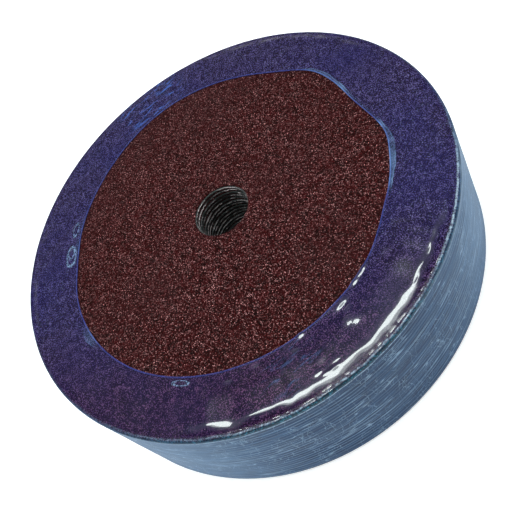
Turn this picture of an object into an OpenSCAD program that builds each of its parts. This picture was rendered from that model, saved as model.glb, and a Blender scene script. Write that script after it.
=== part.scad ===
// Shrink-wrapped pack of resin fibre abrasive discs for an angle grinder.
//
// Frame: origin at the centre of the underside, +Z up along the bore's axis, millimetres.
// Every disc lies grain side up. A disc is a vulcanised fibre backing with an abrasive
// coat bonded on it. A shrink film sleeve is drawn over both rims and holds the pack.

/* [Discs] */
// Number of discs in the pack
disc_count = 25; // [5:1:28]
// Outside diameter of a disc
disc_d = 180; // [115:1:230]
// Diameter of the arbor hole in the fibre backing
bore_d = 22.2; // [16:0.1:23]
// Thickness of the vulcanised fibre backing
backing_t = 0.85; // [0.6:0.05:1.2]
// Thickness of the resin and grain coat
grit_t = 0.95; // [0.3:0.05:1.5]
// Width of bare fibre that the punch leaves at the hole and at the rim
bare_edge = 0.4; // [0.2:0.1:1]
// Space between one disc's grain tips and the next backing
disc_gap = 0.05; // [0.02:0.01:0.3]
// How far each disc may lie off the bore's axis
stagger = 0.12; // [0:0.01:0.2]

/* [Shrink film] */
// Thickness of the shrunk film
film_t = 0.2; // [0.15:0.05:0.5]
// Clearance between the discs' rims and the film
film_clear = 0.2; // [0.2:0.05:0.6]
// Width of the lip that the film folds over each rim
lip_w = 22.5; // [8:0.5:35]
// Rounding of the film's outer corners
film_round = 0.35; // [0.25:0.05:1]

/* [Hidden] */
fine = 180;                 // facets that draw a full circle
arc_steps = 6;              // straight lines in a quarter round
golden_angle = 137.508;     // spreads the discs' offsets evenly round the axis

pitch = backing_t + grit_t + disc_gap;
stack_z = film_t + disc_gap;
stack_h = disc_count * pitch - disc_gap;
film_inner_r = disc_d / 2 + film_clear;
film_outer_r = film_inner_r + film_t;
pack_h = stack_z + stack_h + disc_gap + film_t;
lip_inner_r = film_outer_r - lip_w;

function number(k) = str(k < 10 ? "0" : "", k);
function backing_name(k) = str("disc_", number(k), "_backing");
function grit_name(k) = str("disc_", number(k), "_grit");

// Where disc k lies: a little off the axis, on the floor of the film or on the disc below.
function disc_place(k) = [
    stagger * cos(k * golden_angle),
    stagger * sin(k * golden_angle),
    stack_z + (k - 1) * pitch
];

// A flat ring standing on Z = 0.
module ring(outer_d, inner_d, thick) {
    rotate_extrude($fn = fine)
        translate([inner_d / 2, 0])
            square([(outer_d - inner_d) / 2, thick]);
}

// The vulcanised fibre of disc k, with its arbor hole.
module backing(k) {
    color("darkslategray")
        translate(disc_place(k))
            ring(disc_d, bore_d, backing_t);
}

// The grain and resin bonded on the upper face of disc k.
module grit(k) {
    color([0.25, 0.11, 0.1])
        translate(disc_place(k) + [0, 0, backing_t])
            ring(disc_d - 2 * bare_edge, bore_d + 2 * bare_edge, grit_t);
}

// Points of a quarter round about a centre, from one angle to 90 degrees further.
function quarter(centre, r, from) = [
    for (i = [0:arc_steps])
        centre + r * [cos(from + 90 * i / arc_steps), sin(from + 90 * i / arc_steps)]
];

// Half section of the film: a C that is open towards the axis.
function film_section() = concat(
    [[lip_inner_r, 0]],
    quarter([film_outer_r - film_round, film_round], film_round, -90),
    quarter([film_outer_r - film_round, pack_h - film_round], film_round, 0),
    [
        [lip_inner_r, pack_h],
        [lip_inner_r, pack_h - film_t],
        [film_inner_r, pack_h - film_t],
        [film_inner_r, film_t],
        [lip_inner_r, film_t]
    ]
);

// The sleeve round the whole pack, with a lip over each rim.
module shrink_film() {
    color([0.2, 0.28, 0.55, 0.5])
        rotate_extrude($fn = fine)
            polygon(film_section());
}

for (k = [1:disc_count]) {
    backing(k);
    grit(k);
}
shrink_film();
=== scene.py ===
"""Looks of a shrink-wrapped pack of abrasive fibre discs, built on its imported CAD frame.

Everything is in metres in the CAD's frame: the pack stands on Z = 0 with its bore along +Z.
MM turns the millimetres used for the film's and the grains' details into metres.
"""

import math

import bpy
import numpy as np
from mathutils import Matrix, Vector


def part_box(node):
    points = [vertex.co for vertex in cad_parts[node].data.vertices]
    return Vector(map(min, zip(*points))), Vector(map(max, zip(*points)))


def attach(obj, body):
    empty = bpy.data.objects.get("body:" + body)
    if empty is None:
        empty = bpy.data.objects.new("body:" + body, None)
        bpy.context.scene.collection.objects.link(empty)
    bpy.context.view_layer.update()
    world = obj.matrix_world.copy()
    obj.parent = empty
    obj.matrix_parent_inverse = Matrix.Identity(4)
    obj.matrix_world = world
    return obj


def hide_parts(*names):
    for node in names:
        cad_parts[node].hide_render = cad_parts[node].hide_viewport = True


MM = 0.001

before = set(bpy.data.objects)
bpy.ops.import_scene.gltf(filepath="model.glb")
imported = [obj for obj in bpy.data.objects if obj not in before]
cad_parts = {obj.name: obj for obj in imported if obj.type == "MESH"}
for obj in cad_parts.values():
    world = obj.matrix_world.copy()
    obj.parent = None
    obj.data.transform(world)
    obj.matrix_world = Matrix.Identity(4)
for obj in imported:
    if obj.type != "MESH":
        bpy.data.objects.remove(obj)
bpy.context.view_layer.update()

# ---------------------------------------------------------------- sizes from the frame

_, film_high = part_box("shrink_film")
grain_low, grain_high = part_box("disc_25_grit")
disc_low, disc_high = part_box("disc_25_backing")
first_low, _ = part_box("disc_01_backing")
second_low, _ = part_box("disc_02_backing")

PACK_HEIGHT = film_high.z
FILM_RADIUS = film_high.x
GRAIN_CENTRE = (grain_low + grain_high) / 2
GRAIN_TOP = grain_high.z
GRAIN_BASE = grain_low.z
GRAIN_OUTER = (grain_high.x - grain_low.x) / 2
DISC_OUTER = (disc_high.x - disc_low.x) / 2
BARE_EDGE = DISC_OUTER - GRAIN_OUTER
PITCH = second_low.z - first_low.z
STACK_BASE = first_low.z


def bore_radius():
    """Radius of the arbor hole, from the top backing's innermost vertices."""
    centre = (disc_low + disc_high) / 2
    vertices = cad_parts["disc_25_backing"].data.vertices
    return min(math.hypot(v.co.x - centre.x, v.co.y - centre.y) for v in vertices)


GRAIN_INNER = bore_radius() + BARE_EDGE


# ---------------------------------------------------------------- mesh and node helpers

def make_mesh(name, vertices, faces, smooth=True):
    """A new object from arrays of vertices and of faces' corner numbers."""
    mesh = bpy.data.meshes.new(name)
    mesh.from_pydata([tuple(v) for v in vertices], [], [tuple(f) for f in faces])
    mesh.update()
    mesh.polygons.foreach_set("use_smooth", [smooth] * len(mesh.polygons))
    piece = bpy.data.objects.new(name, mesh)
    bpy.context.scene.collection.objects.link(piece)
    return piece


def tube_faces(rows, columns):
    """Quads of a grid of rows x columns whose columns close into a ring."""
    row, column = np.meshgrid(np.arange(rows - 1), np.arange(columns), indexing="ij")
    beside = (column + 1) % columns
    corners = [row * columns + column, row * columns + beside,
               (row + 1) * columns + beside, (row + 1) * columns + column]
    return np.stack(corners, axis=-1).reshape(-1, 4)


class Graph:
    """Short hands for building one material's nodes round its Principled shader."""

    def __init__(self, name):
        self.material = bpy.data.materials.new(name)
        self.material.use_nodes = True
        self.tree = self.material.node_tree
        self.shader = self.tree.nodes["Principled BSDF"]
        self.place = self.add("ShaderNodeTexCoord").outputs["Object"]

    def add(self, kind, **settings):
        node = self.tree.nodes.new(kind)
        for key, value in settings.items():
            setattr(node, key, value)
        return node

    def put(self, socket, value):
        """Link another node's socket to this one, or give this one a plain value."""
        if isinstance(value, bpy.types.NodeSocket):
            self.tree.links.new(value, socket)
        else:
            socket.default_value = value

    def set(self, **values):
        """Feed the shader's inputs, named with _ for a space."""
        for key, value in values.items():
            self.put(self.shader.inputs[key.replace("_", " ")], value)

    def math(self, operation, first, second=0.0, clamp=False):
        node = self.add("ShaderNodeMath", operation=operation, use_clamp=clamp)
        self.put(node.inputs[0], first)
        self.put(node.inputs[1], second)
        return node.outputs[0]

    def plus(self, first, second, clamp=False):
        return self.math("ADD", first, second, clamp)

    def minus(self, first, second):
        return self.math("SUBTRACT", first, second)

    def times(self, first, second, clamp=False):
        return self.math("MULTIPLY", first, second, clamp)

    def over(self, first, second):
        return self.math("DIVIDE", first, second)

    def most(self, first, second):
        return self.math("MAXIMUM", first, second)

    def length(self, first, second):
        """Length of the flat vector with these two components."""
        return self.math("SQRT", self.plus(self.times(first, first), self.times(second, second)))

    def stretch(self, vector, scale):
        node = self.add("ShaderNodeVectorMath", operation="MULTIPLY")
        self.put(node.inputs[0], vector)
        self.put(node.inputs[1], scale)
        return node.outputs[0]

    def split(self, vector):
        node = self.add("ShaderNodeSeparateXYZ")
        self.put(node.inputs[0], vector)
        return node.outputs

    def join(self, x, y, z):
        node = self.add("ShaderNodeCombineXYZ")
        for socket, value in zip(node.inputs, (x, y, z)):
            self.put(socket, value)
        return node.outputs[0]

    def attribute(self, name):
        return self.add("ShaderNodeAttribute", attribute_name=name).outputs["Fac"]

    def noise(self, scale, vector=None, detail=3.0, roughness=0.55, distortion=0.0):
        node = self.add("ShaderNodeTexNoise")
        self.put(node.inputs["Vector"], vector or self.place)
        self.put(node.inputs["Scale"], scale)
        self.put(node.inputs["Detail"], detail)
        self.put(node.inputs["Roughness"], roughness)
        self.put(node.inputs["Distortion"], distortion)
        return node.outputs["Fac"]

    def cells(self, size):
        """Random cells: the distance from a cell's centre, and each cell's random numbers."""
        node = self.add("ShaderNodeTexVoronoi")
        self.put(node.inputs["Vector"], self.place)
        self.put(node.inputs["Scale"], 1 / size)
        return node.outputs["Distance"], self.split(node.outputs["Color"])

    def ramp(self, factor, stops):
        node = self.add("ShaderNodeValToRGB")
        elements = node.color_ramp.elements
        while len(elements) < len(stops):
            elements.new(0.5)
        for element, (position, colour) in zip(elements, stops):
            element.position = position
            element.color = (*colour, 1.0)
        self.put(node.inputs[0], factor)
        return node.outputs[0]

    def span(self, value, low, high, to_low=0.0, to_high=1.0):
        """Smooth step of a value from one range to another."""
        node = self.add("ShaderNodeMapRange", interpolation_type="SMOOTHSTEP")
        for socket, number in zip(node.inputs, (value, low, high, to_low, to_high)):
            self.put(socket, number)
        return node.outputs[0]

    def line(self, distance, half_width):
        """1 where a distance is 0, falling to 0 at half the line's width on either side."""
        return self.span(self.math("ABSOLUTE", distance), 0.0, half_width, 1.0, 0.0)

    def blend(self, factor, first, second):
        """Mix of two numbers."""
        node = self.add("ShaderNodeMix", data_type="FLOAT")
        self.put(node.inputs[0], factor)
        self.put(node.inputs[2], first)
        self.put(node.inputs[3], second)
        return node.outputs[0]

    def mix(self, factor, first, second, blend="MIX"):
        """Mix of two colours, each a socket or plain red, green and blue."""
        node = self.add("ShaderNodeMix", data_type="RGBA", blend_type=blend)
        self.put(node.inputs[0], factor)
        for socket, value in zip((node.inputs[6], node.inputs[7]), (first, second)):
            self.put(socket, (*value, 1.0) if isinstance(value, tuple) else value)
        return node.outputs[2]

    def bump(self, height, strength, distance):
        node = self.add("ShaderNodeBump")
        self.put(node.inputs["Height"], height)
        self.put(node.inputs["Strength"], strength)
        self.put(node.inputs["Distance"], distance)
        return node.outputs[0]


# ---------------------------------------------------------------- disc materials

GRAIN_SIZE = 0.55 * MM
FACET_SIZE = 0.38 * MM
# pale colour of single facets: a painted highlight for their glints
PAINTED_GLINT = (0.800, 0.390, 0.400)
# near-black of the gaps between grains: painted shade
CREVICE_SHADE = (0.004, 0.0003, 0.0003)
RED_RESIN = (0.050, 0.003, 0.004)
BROWN_RESIN = (0.026, 0.008, 0.009)


def abrasive_material():
    """Brown aluminium oxide grains in dark red resin, with painted glints on single facets and
    painted shade between grains.
    """
    g = Graph("abrasive_grain")
    from_grain, grain_pick = g.cells(GRAIN_SIZE)
    from_facet, facet_pick = g.cells(FACET_SIZE)
    colour = g.ramp(grain_pick[0], [
        (0.0, (0.005, 0.0001, 0.0001)),
        (0.40, (0.024, 0.0012, 0.0013)),
        (0.75, (0.058, 0.0062, 0.0068)),
        (1.0, (0.120, 0.040, 0.042)),
    ])
    # Single facets get a painted highlight in their colour.
    painted_glint = g.times(g.span(facet_pick[1], 0.64, 0.93), g.span(from_facet, 0.22, 0.50, 1.0, 0.15))
    colour = g.mix(painted_glint, colour, PAINTED_GLINT)
    # The gaps between grains are darkened to near-black: painted shade.
    colour = g.mix(g.span(from_grain, 0.34, 0.60, 0.0, 0.95), colour, CREVICE_SHADE)
    mottle, patches = g.noise(260, detail=2), g.noise(24, detail=2)
    colour = g.mix(g.span(mottle, 0.35, 0.7, 0.0, 0.30), colour, RED_RESIN)
    colour = g.mix(g.span(patches, 0.4, 0.7, 0.0, 0.25), colour, BROWN_RESIN)
    height = g.plus(g.minus(1.0, from_grain), g.times(facet_pick[1], 0.35))
    g.set(
        Base_Color=colour,
        Roughness=g.span(facet_pick[1], 0.55, 1.0, 0.75, 0.32),
        Specular_IOR_Level=0.06,
        Normal=g.bump(height, 0.8, 0.25 * MM),
    )
    return g.material


BURR_LEVEL = 0.34               # part of the pitch at which a backing's burr stands
PALE_BURR = (1.000, 0.880, 0.900)


def fibre_material():
    """Grey vulcanised fibre: felted faces, and a dark punched edge with pale ragged burrs;
    painted shade makes the edge near-black.
    """
    g = Graph("vulcanised_fibre")
    x, y, z = g.split(g.place)
    strands = g.noise(900, g.stretch(g.place, (1.0, 0.35, 1.0)), detail=5)
    cloud = g.noise(45, detail=3)
    face = g.mix(strands, (0.012, 0.018, 0.018), (0.045, 0.060, 0.058))
    face = g.mix(g.span(cloud, 0.3, 0.7, 0.0, 0.5), face, (0.022, 0.028, 0.030))

    ragged = g.noise(1.0, g.stretch(g.place, (750, 750, 380)), detail=5, roughness=0.7)
    level = g.over(g.minus(z, STACK_BASE), PITCH)
    ply = g.times(g.math("FLOOR", level), 5.7)
    up_ply = g.plus(g.math("FRACT", level), g.times(g.minus(ragged, 0.5), 1.2))
    off_burr = g.math("ABSOLUTE", g.minus(up_ply, BURR_LEVEL))
    reach = g.noise(1.0, g.join(g.times(x, 110), g.times(y, 110), ply), detail=5, roughness=0.75)
    burr = g.times(g.span(off_burr, 0.04, 0.14, 1.0, 0.0), g.span(reach, 0.42, 0.54))
    # The punched edge is dark of its own, and painted shade makes it near-black in the bore.
    edge = g.mix(ragged, (0.001, 0.001, 0.001), (0.006, 0.009, 0.009))
    edge = g.mix(burr, edge, PALE_BURR)

    # Upright faces take the edge colour, painted shade included.
    normal = g.add("ShaderNodeNewGeometry").outputs["Normal"]
    upright = g.math("ABSOLUTE", g.split(normal)[2])
    g.set(
        Base_Color=g.mix(g.span(upright, 0.4, 0.6), edge, face),
        Roughness=g.span(strands, 0.3, 0.7, 0.62, 0.85),
        Normal=g.bump(g.plus(strands, ragged), 0.35, 0.12 * MM),
    )
    return g.material


# ---------------------------------------------------------------- film material

# Patches where the top lip is scuffed: x, y, inner and outer reach in mm, how much, colour.
SCUFFED = [(8, 83, 8, 22, 0.90, (0.050, 0.130, 0.440)),
           (-15, -74, 4, 17, 0.75, (0.030, 0.055, 0.145))]
# Loops where the lip lies folded on itself: azimuth, then radius, half length and half
# width in mm.
LOOPS = [(138.3, 69.9, 3.7, 1.1), (147.6, 69.8, 3.2, 1.5), (149.5, 69.6, 4.8, 2.4),
         (226.3, 70.0, 3.4, 1.1)]
TINT_SIDE = (-0.5, -0.87)       # direction from the axis to where the lip is tinted most, redder and darker
SIDE_TINT = (1.20, 0.50, 0.48)
DEEP_DYE = (0.003, 0.005, 0.080)
# pale specks over grain tips: a painted highlight
TIP_GLINT = (0.230, 0.270, 0.390)
# paler blue of the side seen edge on: a painted sheen
PAINTED_SHEEN = (0.165, 0.300, 0.480)
SIDE_MARK = (0.300, 0.450, 0.600)
FOLD_BLUE = (0.140, 0.260, 0.450)
LOOP_BLUE = (0.180, 0.270, 0.420)
HEM_BLUE = (0.060, 0.095, 0.420)
HAZE_GREY = (0.024, 0.022, 0.045)
DARK_CELL = (0.012, 0.002, 0.018)
DOT_SIZE = 0.42 * MM            # where the sheet clings to single grains
SMEAR_SIZE = 2.6 * MM           # and to groups of them
TIP_SIZE = 0.62 * MM
CLING_SIZE = 1.0 * MM           # cells in which the sheet clings near the rim
DRIFT = 2.2 * MM                # how far the side's scuffs wander up and down


class FilmGraph(Graph):
    """The film's nodes, and the fields that several of its layers share.

    The sheet's attributes say how far round the corner on to the side a point is (side), how
    far it is along the sheet from the top rim and from the free edge in mm (along, inset),
    where the sheet stands off the discs (haze), where its free edge is folded double and how
    wide in mm (fold, fold_width), how strongly the near rim gets its painted shadow and cling
    cells (crease), and where its corner gets a painted highlight (rim_highlight).
    """

    def __init__(self):
        super().__init__("blue_shrink_film")
        self.x, self.y, self.height = self.split(self.place)
        self.side, self.along = self.attribute("side"), self.attribute("along")
        self.inset = self.attribute("inset")
        self.crease, self.rim_highlight = self.attribute("crease"), self.attribute("rim_highlight")
        self.fine = self.noise(160, detail=4)
        self.dots = self.noise(1 / DOT_SIZE, detail=1)
        smears = self.noise(1 / SMEAR_SIZE, detail=3, roughness=0.7)
        self.clinging = self.plus(self.times(self.dots, 0.72), self.times(smears, 0.28))
        self.wobble = self.times(self.minus(self.noise(260, detail=3), 0.5), 1.4)


def lip_colour(g):
    """Blue dye, mottled where the sheet clings to single grains, with painted glints over grain
    tips, redder and darker to one side.
    """
    lip = g.ramp(g.clinging, [
        (0.40, (0.0015, 0.0003, 0.010)),
        (0.47, (0.0044, 0.0010, 0.027)),
        (0.53, (0.0115, 0.0052, 0.055)),
        (0.63, (0.100, 0.080, 0.190)),
    ])
    cloud = g.noise(26, detail=3, distortion=0.4)
    lip = g.mix(g.span(cloud, 0.35, 0.7, 0.0, 0.35), lip, DEEP_DYE)
    # Pale specks over single grain tips are a painted highlight.
    from_tip, tip_pick = g.cells(TIP_SIZE)
    tip_glints = g.times(g.span(tip_pick[0], 0.84, 0.92, 0.0, 0.7),
                     g.span(from_tip, 0.12, 0.34, 1.0, 0.0))
    lip = g.mix(tip_glints, lip, TIP_GLINT)
    # The lip is tinted redder and darker towards one side.
    towards_side_tint = g.plus(g.times(g.x, TINT_SIDE[0]), g.times(g.y, TINT_SIDE[1]))
    side_tinting = g.span(towards_side_tint, 25 * MM, 78 * MM, 0.0, 0.85)
    lip = g.mix(side_tinting, lip, g.mix(1.0, lip, SIDE_TINT, "MULTIPLY"))
    scratch = g.noise(1.0, g.stretch(g.place, (90, 420, 90)), detail=5, distortion=1.5)
    for patch_x, patch_y, inner, outer, amount, scuff_colour in SCUFFED:
        off = g.length(g.minus(g.x, patch_x * MM), g.minus(g.y, patch_y * MM))
        scuffed = g.span(off, inner * MM, outer * MM, amount, 0.0)
        lip = g.mix(g.times(g.span(scratch, 0.54, 0.66), scuffed), lip, scuff_colour)
    return lip


def wall_colour(g):
    """Colour of the side, with a painted sheen where it is seen edge on, and the field of the
    long scuffs round it.

    Behind the side lie the edges of the discs, which pale lines follow here and there.
    """
    drifted = g.plus(g.height, g.times(g.noise(22, detail=1), DRIFT))
    streak_place = g.join(g.times(g.x, 45), g.times(g.y, 45), g.times(drifted, 2200))
    streaks = g.noise(1.0, streak_place, detail=6, roughness=0.75)
    wall = g.ramp(streaks, [
        (0.34, (0.001, 0.013, 0.045)),
        (0.50, (0.004, 0.033, 0.095)),
        (0.62, (0.016, 0.068, 0.155)),
        (0.76, (0.095, 0.195, 0.320)),
    ])
    bands = g.noise(1.0, g.stretch(streak_place, (0.25, 0.25, 0.16)), detail=2)
    wall = g.mix(g.span(bands, 0.40, 0.62, 0.0, 0.60), wall, (0.0015, 0.024, 0.076))
    blotch = g.noise(1.0, g.stretch(g.place, (170, 170, 420)), detail=5, roughness=0.65)
    wall = g.mix(g.span(blotch, 0.48, 0.64, 0.0, 0.65), wall, (0.001, 0.014, 0.050))

    level = g.over(drifted, PITCH)
    ply = g.times(g.math("FLOOR", level), 7.3)
    strength = g.noise(1.0, g.join(g.times(g.x, 24), g.times(g.y, 24), ply), detail=3)
    from_edge = g.minus(g.math("FRACT", level), 0.5)
    edges = g.times(g.line(from_edge, 0.15), g.span(strength, 0.44, 0.62, 0.06, 0.44))
    contour = g.noise(1.0, g.stretch(streak_place, (0.4, 0.4, 0.12)), detail=2)
    lines = g.times(g.line(g.minus(contour, 0.5), 0.012), 0.50)
    crossing = g.noise(1.0, g.stretch(g.place, (210, 210, 70)), detail=3)
    crossing = g.times(g.line(g.minus(crossing, 0.5), 0.010), 0.32)
    marks = g.most(g.most(lines, edges), crossing)
    marks = g.times(marks, g.span(g.fine, 0.30, 0.55, 0.35, 1.0))
    wall = g.mix(marks, wall, SIDE_MARK)
    # Where the side is seen edge on it pales: a painted sheen.
    edge_on = g.add("ShaderNodeLayerWeight").outputs["Facing"]
    return g.mix(g.span(edge_on, 0.55, 0.86, 0.0, 0.32), wall, PAINTED_SHEEN), streaks


def add_folds(g, colour):
    """The free edge folded double, the loops and the hem; also the fold's own mask."""
    past_fold = g.plus(g.minus(g.inset, g.attribute("fold_width")), g.wobble)
    outline = g.most(g.times(g.line(past_fold, 0.35), 0.75),
                     g.line(g.plus(g.inset, g.times(g.wobble, 0.4)), 0.45))
    filling = g.span(past_fold, -0.3, 0.2, 0.38, 0.0)
    fold = g.times(g.attribute("fold"), g.most(outline, filling), clamp=True)
    fold = g.times(fold, g.span(g.fine, 0.30, 0.60, 0.45, 1.0))
    colour = g.mix(fold, colour, FOLD_BLUE)
    for azimuth, reach, half_length, half_width in LOOPS:
        east, north = math.cos(math.radians(azimuth)), math.sin(math.radians(azimuth))
        outward = g.plus(g.times(g.x, east), g.times(g.y, north))
        sideways = g.minus(g.times(g.y, east), g.times(g.x, north))
        off = g.length(g.over(g.minus(outward, reach * MM), half_width * MM),
                       g.over(sideways, half_length * MM))
        off = g.plus(off, g.times(g.wobble, 0.6))
        loop = g.times(g.line(g.minus(off, 0.9), 0.28), g.span(g.dots, 0.43, 0.56, 0.15, 0.90))
        colour = g.mix(loop, colour, LOOP_BLUE)
    return g.mix(g.times(g.line(g.inset, 0.4), 0.35), colour, HEM_BLUE), fold


def add_rim(g, colour):
    """A painted shadow under the rim, a painted highlight on its corner and a pale line below;
    also their mask.
    """
    wander = g.times(g.minus(g.noise(90, detail=3), 0.5), 1.6)
    down = g.plus(g.along, wander)
    # The band under the rim's corner is painted shadow, over the grit's own dark edge seen
    # through.
    shadowed_seam = g.times(g.span(down, 0.2, 0.6), g.span(down, 1.6, 2.1, 1.0, 0.0))
    shadowed_seam = g.times(shadowed_seam, g.crease)
    flecks = g.noise(1300, detail=3)
    shadowed_seam_colour = g.mix(g.span(flecks, 0.48, 0.64), (0.002, 0.017, 0.030), (0.016, 0.110, 0.170))
    colour = g.mix(shadowed_seam, colour, shadowed_seam_colour)
    # The pale line along the rim's corner is a painted highlight; the other runs below the
    # shadow.
    pale = g.most(g.times(g.line(g.minus(down, 2.4), 0.40), g.crease),
                  g.times(g.line(down, 0.60), g.rim_highlight))
    pale = g.times(pale, g.span(flecks, 0.35, 0.60, 0.15, 0.9), clamp=True)
    pale_colour = g.mix(g.rim_highlight, (0.230, 0.400, 0.560), (0.400, 0.520, 0.640))
    return g.mix(pale, colour, pale_colour), g.most(shadowed_seam, pale)


def film_material():
    """Blue-tinted shrink film: glossy and see-through on the lips, scuffed on the side."""
    g = FilmGraph()
    wall, streaks = wall_colour(g)
    colour = g.mix(g.side, lip_colour(g), wall)
    colour, fold = add_folds(g, colour)
    haze = g.times(g.attribute("haze"), g.span(g.fine, 0.3, 0.7, 0.7, 1.0))
    colour = g.mix(g.times(haze, 0.8), colour, HAZE_GREY)
    colour, rim = add_rim(g, colour)

    # Just inside the rim the sheet clings in cells, and only patches of it shine.
    cling = g.times(g.span(g.along, -2.6, -1.6), g.minus(1.0, g.side))
    cells = g.noise(1 / CLING_SIZE, detail=2)
    dark_cell = g.times(g.times(cling, g.crease), g.span(cells, 0.45, 0.55))
    colour = g.mix(g.times(dark_cell, 0.8), colour, DARK_CELL)
    patches = g.span(g.noise(330, detail=2), 0.53, 0.62)
    bare = g.times(cling, g.minus(1.0, patches))
    coat = g.times(g.minus(1.0, bare), g.span(g.inset, 0.1, 0.6, 0.15, 1.0))

    # Haze also raises the alpha, because a coat's highlight shows only where the film is opaque.
    lip_alpha = g.span(g.clinging, 0.38, 0.60, 0.76, 0.94)
    wall_alpha = g.span(streaks, 0.35, 0.7, 0.90, 0.98)
    alpha = g.plus(g.blend(g.side, lip_alpha, wall_alpha), g.times(fold, 0.3), clamp=True)
    alpha = g.plus(alpha, g.times(haze, 0.60), clamp=True)

    relief = g.plus(g.times(cells, cling), g.times(g.noise(120, detail=1), 0.10))
    relief = g.plus(relief, g.times(g.times(streaks, g.side), 0.5))
    g.set(
        Base_Color=colour,
        Alpha=g.most(alpha, rim),
        Roughness=g.span(g.side, 0.0, 1.0, 0.38, 0.62),
        Specular_IOR_Level=0.2,
        Coat_Weight=g.times(coat, g.span(g.side, 0.0, 1.0, 1.0, 0.06)),
        Coat_Roughness=0.06,
        Coat_IOR=1.5,
        Normal=g.bump(relief, 0.5, 0.35 * MM),
    )
    return g.material


# ---------------------------------------------------------------- grain skin of the top disc

GRAIN_ROW = 0.62 * MM           # distance between rings of grains
GRAIN_SCATTER = 0.16 * MM       # how far a grain lies off its place in the ring
GRAIN_RISE = 0.10 * MM          # how far a grain's tip stands over or under the coat's face
GRAIN_SKIN = 0.04 * MM          # the face lies this far under the CAD coat's top,
GRAIN_EDGE = 0.15 * MM          # and this much lower still at the coat's two edges
FINEST_SEGMENTS = 1024          # segments of the outermost rings
HALF_SEGMENTS_AT = 46 * MM      # rings up to this radius have half as many,
QUARTER_SEGMENTS_AT = 23 * MM   # and up to this one a quarter
UNDERSIDE_RINGS = (40 * MM, 20 * MM)


def ring_segments(radius):
    """Segments of a ring: halved inwards, so that a grain stays about as wide as it is long."""
    if radius > HALF_SEGMENTS_AT:
        return FINEST_SEGMENTS
    return FINEST_SEGMENTS // 2 if radius > QUARTER_SEGMENTS_AT else FINEST_SEGMENTS // 4


def bridge(inner_start, inner_count, outer_start, outer_count):
    """Faces between two rings, where the outer has as many segments or twice as many."""
    faces = []
    for i in range(inner_count):
        a, b = inner_start + i, inner_start + (i + 1) % inner_count
        if inner_count == outer_count:
            c, d = outer_start + (i + 1) % outer_count, outer_start + i
            faces.append((a, d, c, b))
        else:
            c = outer_start + (2 * i) % outer_count
            d = outer_start + (2 * i + 1) % outer_count
            e = outer_start + (2 * i + 2) % outer_count
            faces += [(a, c, d), (a, d, b), (b, d, e)]
    return faces


def grain_skin(material):
    """The top coat as one closed ring whose upper face is broken up into single grains."""
    chance = np.random.RandomState(7)
    rings = int(round((GRAIN_OUTER - GRAIN_INNER) / GRAIN_ROW)) + 1
    radii = np.linspace(GRAIN_INNER, GRAIN_OUTER, rings)
    points, starts, counts = [], [], []

    def add_ring(radius, height, scatter=0.0, rise=0.0):
        count = ring_segments(radius)
        turn = np.arange(count) * 2 * math.pi / count
        turn = turn + chance.uniform(-1, 1, count) * scatter / radius
        reach = radius + chance.uniform(-1, 1, count) * scatter
        tip = height + chance.uniform(-1, 1, count) * rise
        starts.append(sum(counts))
        counts.append(count)
        points.append(np.c_[reach * np.cos(turn), reach * np.sin(turn), tip])

    face_height = GRAIN_TOP - GRAIN_SKIN
    add_ring(radii[0], GRAIN_BASE)
    add_ring(radii[0], face_height - GRAIN_EDGE, rise=GRAIN_RISE)
    for radius in radii[1:-1]:
        add_ring(radius, face_height, GRAIN_SCATTER, GRAIN_RISE)
    add_ring(radii[-1], face_height - GRAIN_EDGE, rise=GRAIN_RISE)
    add_ring(radii[-1], GRAIN_BASE)
    last = len(counts) - 1
    for radius in UNDERSIDE_RINGS:
        add_ring(radius, GRAIN_BASE)

    faces = []
    for i in range(last):
        faces += bridge(starts[i], counts[i], starts[i + 1], counts[i + 1])
    underside = list(range(last, len(counts))) + [0]
    for i, j in zip(underside, underside[1:]):
        faces += [face[::-1] for face in bridge(starts[j], counts[j], starts[i], counts[i])]
    vertices = np.vstack(points) + np.array([GRAIN_CENTRE.x, GRAIN_CENTRE.y, 0.0])
    piece = make_mesh("top_disc_grains", vertices, faces, smooth=False)
    piece.data.materials.append(material)
    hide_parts("disc_25_grit")
    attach(piece, "root")


# ---------------------------------------------------------------- shrink film sleeve

FILM_COLUMNS = 480              # points round the sleeve
SHEET = 0.1 * MM                # the drawn sheet lies this far inside the CAD film's faces
CORNER = 0.9 * MM               # radius of the sleeve's rounded corners
CORNER_POINTS = 4               # rows between a corner's ends
TOP, BOTTOM, WALL = PACK_HEIGHT - SHEET, SHEET, FILM_RADIUS - SHEET
RIM = WALL - CORNER             # radius at which a lip ends and its rounded corner begins
STRAIGHT = TOP - BOTTOM - 2 * CORNER    # height of the side between its corners
OPENING = 67.0 * MM             # usual radius of the opening, before the film's pulls
# Where the film pulled its opening out or in: azimuth and half width in degrees, then mm.
TOP_PULLS = [(80, 31, 3.6), (22, 11, 2.4), (200, 40, 1.5), (338, 7, 1.0),
             (357, 10, -1.6), (309, 12, -1.5), (152, 13, -1.3)]
BOTTOM_PULLS = [(35, 30, 2.2), (110, 18, -1.2), (170, 36, 1.8), (236, 12, 1.1),
                (262, 10, -1.0), (318, 26, 1.4)]
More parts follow.
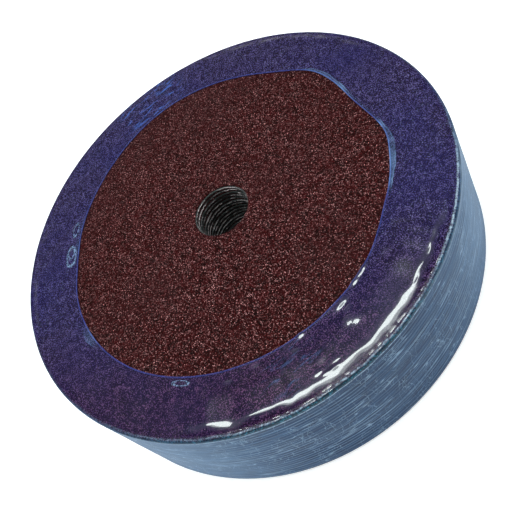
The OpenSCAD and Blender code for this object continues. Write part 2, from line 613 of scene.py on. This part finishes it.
# Short wrinkles standing off the top lip: azimuth and half length in degrees, then the
# radius, half width and height in mm.
TOP_WRINKLES = [(289, 2.4, 66.6, 1.1, 0.50), (285, 1.3, 67.2, 0.9, 0.42),
                (278, 2.5, 68.6, 1.1, 0.62), (278, 1.1, 71.8, 0.7, 0.48),
                (276, 1.6, 74.9, 1.0, 0.75), (277, 1.1, 76.8, 0.8, 0.50),
                (264, 1.1, 67.3, 0.9, 0.42), (265, 1.0, 79.5, 0.9, 0.32),
                (263, 1.2, 82.7, 0.9, 0.34), (267, 1.0, 82.2, 0.7, 0.28),
                (266.5, 0.9, 84.5, 0.6, 0.30), (264.3, 0.7, 84.3, 0.5, 0.26),
                (268, 0.6, 82.9, 0.5, 0.22), (292, 0.9, 86.5, 0.5, 0.20),
                (295.5, 0.8, 86.0, 0.5, 0.22), (299, 0.8, 86.2, 0.5, 0.20),
                (261, 0.8, 71.5, 0.6, 0.30), (256, 0.8, 76.0, 0.6, 0.28),
                (249, 1.2, 69.2, 0.7, 0.42), (241, 0.9, 72.0, 0.6, 0.36),
                (296, 2.0, 85.2, 1.5, 0.22), (226, 1.4, 69.3, 0.8, 0.34),
                (147, 1.8, 69.6, 0.8, 0.34), (138, 2.2, 70.8, 0.8, 0.34)]
NEAR_SIDE = 270                 # azimuth in degrees of the rim nearest the photograph's view
# The film bends down to the near rim in a shoulder: its usual distance from the rim and its
# usual width in mm, and where that width changes: azimuth and half width in degrees, then mm.
SHOULDER_START = 4.3
SHOULDER_WIDTH = 1.10
WIDTH_CHANGES = [(287, 1.5, 1.3), (271, 7, 0.2), (245, 5, -0.5)]
# Slopes of the film at the shoulder's crest, across it and below it, and how much less it
# falls where it is slack.
CREST_SLOPE, ACROSS_SLOPE, FALL_SLOPE, SLACK_SLOPE = 0.12, 0.11, 0.45, 0.33
# The free edge's folded band: its usual width in mm, where that grows, and where the band
# shows faintly outside its main stretches: azimuth and half width in degrees, then how much.
FOLD_WIDTH = 0.8
FOLD_WIDTHS = [(331, 8, 1.1), (14, 8, 0.4), (147, 5, 1.2), (137, 4, 1.0), (185, 6, 2.0)]
FAINT_FOLDS = [(147, 4, 0.3), (137, 4, 0.3), (185, 4, 0.5)]
FOLD_RISE = 0.25 * MM
BEAD = 0.22 * MM                # radius of the film's thickened free edge
BEAD_POINTS = 7
TOP_LIP_ROWS = (17, 12, 24)     # rows in the lip's inner, middle and outer part
BOTTOM_LIP_ROWS = (5, 8, 5)
EDGE_PART = 4.6 * MM            # width of the inner part of a lip
RIM_PART = 6.6 * MM             # width of the outer part
SIDE_ROWS_PER_DISC = 4
DENT = 0.05 * MM                # how far slack film is drawn in over a disc's rim,
DENT_BETWEEN = 0.10 * MM        # and how much further between two rims
WAVE_COUNT = 26                 # waves that add up to one random field
FAR = -30 * MM                  # `along` of the points that lie nowhere near the top rim


def turn_distance(azimuth, centre):
    """Angle in degrees, -180 to 180, from a centre in degrees to azimuths in radians."""
    return (np.degrees(azimuth) - centre + 180) % 360 - 180


def hump(azimuth, centre, half_width):
    return np.exp(-(turn_distance(azimuth, centre) / half_width) ** 2)


def humps(azimuth, rows):
    """Sum of humps, from rows of azimuth and half width in degrees, then height."""
    return sum(height * hump(azimuth, centre, half_width) for centre, half_width, height in rows)


def smooth_step(value):
    value = np.clip(value, 0, 1)
    return value * value * (3 - 2 * value)


def plateau(azimuth, centre, flat, fade):
    """1 within `flat` degrees of the centre, falling to 0 over the next `fade` degrees."""
    off = np.abs(turn_distance(azimuth, centre))
    return smooth_step((flat + fade - off) / fade)


def waves(azimuth, along, seed, turns, length):
    """Smooth random field from -1 to 1 or so: waves up to `turns` round and `length` long."""
    chance = np.random.RandomState(seed)
    field = np.zeros(np.broadcast(azimuth, along).shape)
    for _ in range(WAVE_COUNT):
        around = chance.randint(-turns, turns + 1)
        across = chance.uniform(-1, 1) * 2 * math.pi / length
        field += np.cos(around * azimuth + across * along + chance.uniform(0, 2 * math.pi))
    return field / math.sqrt(WAVE_COUNT)


def ripple(azimuth, seed, turns):
    """Random field that changes only round the pack."""
    return waves(azimuth, 0, seed, turns, 1)


def opening_radius(azimuth, pulls):
    return OPENING + humps(azimuth, pulls) * MM


def lip_radii(edge, counts):
    """Rows of radius from the free edge to the rim, closer together near both."""
    inner = np.linspace(0, EDGE_PART, counts[0], endpoint=False)[:, None] + edge
    middle = np.linspace(0, 1, counts[1], endpoint=False)[:, None]
    middle = (edge + EDGE_PART) + (RIM - RIM_PART - edge - EDGE_PART) * middle
    outer = np.linspace(RIM - RIM_PART, RIM, counts[2])[:, None] + np.zeros_like(edge)
    return np.vstack([inner, middle, outer])


def shoulder_rise(azimuth, radius, start, width, near, slack):
    """Height over the rim of film that comes down to it, from the slopes on the way."""
    to_rim = RIM - radius
    foot = (1.0 + 0.2 * ripple(azimuth, 13, 40)) * MM
    bend = (start - to_rim) / width
    tilt = 1 / np.cos(np.radians(np.clip(turn_distance(azimuth, NEAR_SIDE), -40, 40)))
    slope = CREST_SLOPE * smooth_step((bend + 0.35) / 0.35) + ACROSS_SLOPE * np.clip(bend, 0, 1)
    slope = slope * tilt + (FALL_SLOPE - SLACK_SLOPE * slack) * smooth_step((bend - 1.0) / 0.9)
    slope = slope * smooth_step((to_rim - 0.35 * MM) / foot) * (0.12 + 0.88 * near)
    fall = (slope[1:] + slope[:-1]) / 2 * np.diff(radius, axis=0)
    return np.vstack([np.cumsum(fall[::-1], axis=0)[::-1], np.zeros_like(fall[:1])])


def top_rise(azimuth, radius, edge):
    """Height of the top lip over its lowest level, and how hazy it is there.

    The film bridges the near rim: it stands off the disc, bends down in a shoulder and
    clings to the rim again. Elsewhere it lies almost flat.
    """
    near = np.clip(plateau(azimuth, NEAR_SIDE, 30, 22) + 0.35 * hump(azimuth, 30, 30)
                   + 0.25 * hump(azimuth, 165, 26), 0, 1)
    slack = plateau(azimuth, 273, 9, 8)
    inset, to_rim = radius - edge, RIM - radius

    width = (SHOULDER_WIDTH + 0.50 * ripple(azimuth, 11, 44) + 0.24 * ripple(azimuth, 17, 100)
             + humps(azimuth, WIDTH_CHANGES)) * MM
    width = np.clip(width, 0.4 * MM, 3.0 * MM)
    start = (SHOULDER_START + 0.35 * ripple(azimuth, 12, 44) + 1.2 * hump(azimuth, 287, 1.5)) * MM
    rise = shoulder_rise(azimuth, radius, start, width, near, slack)
    rise = rise * smooth_step(inset / (10 * MM))

    sag = waves(azimuth, radius, 14, 40, 9 * MM) * 0.5 + 0.5
    rise += (0.08 + 0.10 * near) * MM * sag * smooth_step((to_rim - 6 * MM) / (6 * MM))
    pucker = np.clip(waves(azimuth, radius, 15, 34, 3.2 * MM), 0, 2)
    rise += (0.02 + 0.10 * near) * MM * pucker * np.exp(-(inset / (5 * MM)) ** 2)
    wrinkled = 0
    for centre, half_length, reach, half_width, top in TOP_WRINKLES:
        off = (radius - reach * MM) / (half_width * MM)
        ridge = hump(azimuth, centre, half_length) * np.exp(-off ** 2)
        rise += top * MM * ridge
        wrinkled = wrinkled + ridge

    bridged = smooth_step((near - 0.5) / 0.4)
    from_shoulder = (to_rim - start + 0.9 * width) / (0.6 * width + (0.5 + 1.2 * slack) * MM)
    haze = np.exp(-from_shoulder ** 2) * bridged
    haze += 0.35 * hump(azimuth, 259, 2.2) * smooth_step(to_rim / (8 * MM))
    haze += 0.35 * hump(azimuth, 290, 8) * np.exp(-((to_rim - 8 * MM) / (4 * MM)) ** 2)
    haze += 0.7 * np.clip(wrinkled * 2, 0, 1) * bridged
    return np.maximum(rise, 0), np.clip(haze, 0, 1)


def edge_fold(azimuth, inset):
    """How strongly the top lip's free edge is folded double, its width, and its rise."""
    width = (FOLD_WIDTH + humps(azimuth, FOLD_WIDTHS)) * MM
    fold = np.clip(plateau(azimuth, 331, 9, 8) + 0.9 * plateau(azimuth, 13, 7, 9)
                   + 0.15 * plateau(azimuth, 355, 12, 8) + humps(azimuth, FAINT_FOLDS), 0, 1)
    fold = fold * (0.8 + 0.25 * ripple(azimuth, 16, 50))
    return fold, width, FOLD_RISE * fold * np.exp(-((inset - 0.6 * width) / (0.5 * width)) ** 2)


def bead(edge, height, direction):
    """A thin roll along the free edge, from its underside over the hole and back."""
    turns = [-math.pi / 2 + 2 * math.pi * i / BEAD_POINTS for i in range(BEAD_POINTS)]
    return [(edge - BEAD * math.cos(turn) - 0.3 * BEAD,
             height + direction * (BEAD + BEAD * math.sin(turn))) for turn in turns]


def side_wall(azimuth):
    """Rows of radius and height up the side, drawn in a little between the discs' rims."""
    discs = int(round((PACK_HEIGHT - STACK_BASE) / PITCH))
    side_rows = discs * SIDE_ROWS_PER_DISC
    for i in range(side_rows + 1):
        height = BOTTOM + CORNER + STRAIGHT * i / side_rows
        cling = 0.5 - 0.5 * math.sin(2 * math.pi * (height - STACK_BASE) / PITCH)
        slack = 0.5 + 0.5 * waves(azimuth, height, 51, 16, 20 * MM)
        dent = (DENT + DENT_BETWEEN * cling) * slack
        from_corner = min(i, side_rows - i) / (2 * SIDE_ROWS_PER_DISC)
        yield WALL - np.abs(dent) * min(1, from_corner), height


def film_sleeve(material):
    """The sleeve as one sheet: bead, lower lip, side, upper lip and bead again."""
    azimuth = np.arange(FILM_COLUMNS)[None, :] * 2 * math.pi / FILM_COLUMNS
    rows = []

    def add(radius, height, side, along, haze=0.0, inset=9 * MM):
        values = (radius, height, side, along / MM, haze, inset / MM)
        rows.append([np.broadcast_to(value, azimuth[0].shape) for value in values])

    edge = opening_radius(azimuth, BOTTOM_PULLS)
    for radius, height in bead(edge[0], BOTTOM, 0.0):
        add(radius, height, 0.0, FAR)
    for radius in lip_radii(edge, BOTTOM_LIP_ROWS):
        add(radius, BOTTOM, 0.0, FAR)
    corner_turns = np.linspace(0, math.pi / 2, CORNER_POINTS + 2)[1:-1]
    for turn in corner_turns:
        add(RIM + CORNER * math.sin(turn), BOTTOM + CORNER * (1 - math.cos(turn)),
            math.sin(turn), STRAIGHT)
    for radius, height in side_wall(azimuth[0]):
        add(radius, height, 1.0, CORNER * math.pi / 2 + TOP - CORNER - height)
    for turn in corner_turns[::-1]:
        add(RIM + CORNER * math.sin(turn), TOP - CORNER * (1 - math.cos(turn)),
            math.sin(turn), CORNER * turn)

    edge = opening_radius(azimuth, TOP_PULLS)
    radii = lip_radii(edge, TOP_LIP_ROWS)
    rise, haze = top_rise(azimuth, radii, edge)
    inset = radii - edge
    fold, fold_width, fold_rise = edge_fold(azimuth, inset)
    height = TOP + rise + fold_rise
    for i in range(len(radii))[::-1]:
        add(radii[i], height[i], 0.0, radii[i] - RIM, haze[i], inset[i])
    for radius, level in bead(edge[0], height[0], 1.0)[::-1]:
        add(radius, level, 0.0, FAR, haze[0], 0.0)

    radius, height, side, along, haze, inset = np.array(rows).transpose(1, 0, 2)
    vertices = np.stack([radius * np.cos(azimuth), radius * np.sin(azimuth), height], axis=-1)
    piece = make_mesh("film_sleeve", vertices.reshape(-1, 3), tube_faces(len(rows), FILM_COLUMNS))
    # Strength round the near rim of its painted shadow and of the cling cells.
    crease = hump(azimuth, 262, 46)
    # Where the rim's corner gets a painted highlight.
    rim_highlight = np.clip(0.7 * crease + hump(azimuth, 314, 14), 0, 1)
    layers = {"side": side, "along": along, "haze": haze, "inset": inset, "fold": fold,
              "fold_width": fold_width / MM, "crease": crease, "rim_highlight": rim_highlight}
    for name, values in layers.items():
        layer = piece.data.attributes.new(name, "FLOAT", "POINT")
        values = np.broadcast_to(values, radius.shape).reshape(-1)
        layer.data.foreach_set("value", values.astype(np.float32))
    piece.data.materials.append(material)
    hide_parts("shrink_film")
    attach(piece, "root")


# ---------------------------------------------------------------- camera, floor and light

CAMERA_LENS = 50.6              # mm
CAMERA_SENSOR = 36              # mm
CAMERA_DISTANCE = 276.4 * MM    # from the centre of the pack's top
CAMERA_TILT = 44.8              # degrees off the vertical
CAMERA_ROLL = 40.7
CAMERA_NOD = 4.66
CAMERA_PAN = -0.30


def make_camera():
    tilt = math.radians(CAMERA_TILT)
    back = Vector((0, -math.sin(tilt), math.cos(tilt)))
    right = Vector((1, 0, 0))
    base = Matrix((right, back.cross(right), back)).transposed()
    turn = (Matrix.Rotation(math.radians(CAMERA_ROLL), 3, "Z")
            @ Matrix.Rotation(math.radians(CAMERA_NOD), 3, "X")
            @ Matrix.Rotation(math.radians(CAMERA_PAN), 3, "Y"))
    place = Vector((0, 0, PACK_HEIGHT)) + CAMERA_DISTANCE * back
    data = bpy.data.cameras.new("photo_camera")
    data.lens = CAMERA_LENS
    data.sensor_width = CAMERA_SENSOR
    data.clip_start = 0.01
    data.clip_end = 100
    camera = bpy.data.objects.new("photo_camera", data)
    camera.matrix_world = Matrix.Translation(place) @ (base @ turn.transposed()).to_4x4()
    bpy.context.scene.collection.objects.link(camera)
    bpy.context.scene.camera = camera


FLOOR_REACH = 4.0               # half the floor's side, in metres
FLOOR_GLOW = (0.38, 0.80)       # the floor's own light near the pack and far from it,
GLOW_CHANGES = (0.8, 2.0)       # and the distances from the axis between which it rises


def floor_material():
    """Plain pale studio floor, which glows a little so that it stays white in the distance."""
    g = Graph("studio_floor")
    x, y, _ = g.split(g.place)
    shade = g.noise(1.3, detail=2)
    g.set(
        Base_Color=g.mix(shade, (0.86, 0.86, 0.86), (0.90, 0.90, 0.90)),
        Roughness=0.9,
        Specular_IOR_Level=0.0,
        Emission_Color=(1, 1, 1, 1),
        Emission_Strength=g.span(g.length(x, y), *GLOW_CHANGES, *FLOOR_GLOW),
    )
    return g.material


def make_floor(material):
    corners = [(-1, -1, 0), (1, -1, 0), (1, 1, 0), (-1, 1, 0)]
    corners = [Vector(corner) * FLOOR_REACH for corner in corners]
    floor = make_mesh("floor", corners, [(0, 1, 2, 3)], smooth=False)
    floor.data.materials.append(material)


def make_world():
    """A pale horizon under a dimmer ceiling, so that glossy film keeps its depth."""
    world = bpy.data.worlds.new("studio")
    world.use_nodes = True
    tree = world.node_tree
    place = tree.nodes.new("ShaderNodeTexCoord")
    split = tree.nodes.new("ShaderNodeSeparateXYZ")
    ramp = tree.nodes.new("ShaderNodeValToRGB")
    tree.links.new(place.outputs["Generated"], split.inputs[0])
    tree.links.new(split.outputs[2], ramp.inputs[0])
    tree.links.new(ramp.outputs[0], tree.nodes["Background"].inputs["Color"])
    horizon, ceiling = ramp.color_ramp.elements
    horizon.position, horizon.color = 0.05, (0.80, 0.80, 0.80, 1)
    ceiling.position, ceiling.color = 0.50, (0.13, 0.135, 0.145, 1)
    bpy.context.scene.world = world


KEY_SIZE = (0.84, 0.18)
KEY_AIM = (0, 0, 0.03)
KEY_TINT = (0.91, 1.0, 0.97)
FILL_SIZE = (1.2, 0.8)
FILL_WATTS = 12.5


def add_softbox(name, place, aim, size, watts, colour=(1, 1, 1), mirrored=True):
    data = bpy.data.lights.new(name, "AREA")
    data.shape = "RECTANGLE"
    data.size, data.size_y = size
    data.energy = watts
    data.color = colour
    lamp = bpy.data.objects.new(name, data)
    lamp.visible_glossy = mirrored
    lamp.location = place
    lamp.rotation_euler = (Vector(place) - Vector(aim)).to_track_quat("Z", "Y").to_euler()
    bpy.context.scene.collection.objects.link(lamp)


def make_studio():
    """Two overhead softboxes, of which one is dimmer, and a soft fill on either side."""
    make_world()
    make_floor(floor_material())
    add_softbox("key_softbox", (0, 0.05, 0.95), KEY_AIM, KEY_SIZE, 9.0, KEY_TINT)
    add_softbox("key_glow", (0, -0.13, 0.95), KEY_AIM, KEY_SIZE, 2.6, KEY_TINT)
    for name, place in (("left_fill", (-1.4, -0.45, 0.55)), ("right_fill", (1.4, -0.40, 0.55))):
        add_softbox(name, place, (0, 0, 0), FILL_SIZE, FILL_WATTS, mirrored=False)
    bpy.context.scene.view_settings.view_transform = "Standard"


# ---------------------------------------------------------------- build

def dress_cad_nodes(grain, fibre):
    """The discs' own solids keep their shapes and get the two disc materials."""
    for name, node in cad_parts.items():
        if name.endswith("_backing"):
            material = fibre
        elif name.endswith("_grit"):
            material = grain
        else:
            continue
        node.data.materials.clear()
        node.data.materials.append(material)


def main():
    grain = abrasive_material()
    dress_cad_nodes(grain, fibre_material())
    grain_skin(grain)
    film_sleeve(film_material())
    make_studio()
    make_camera()


main()
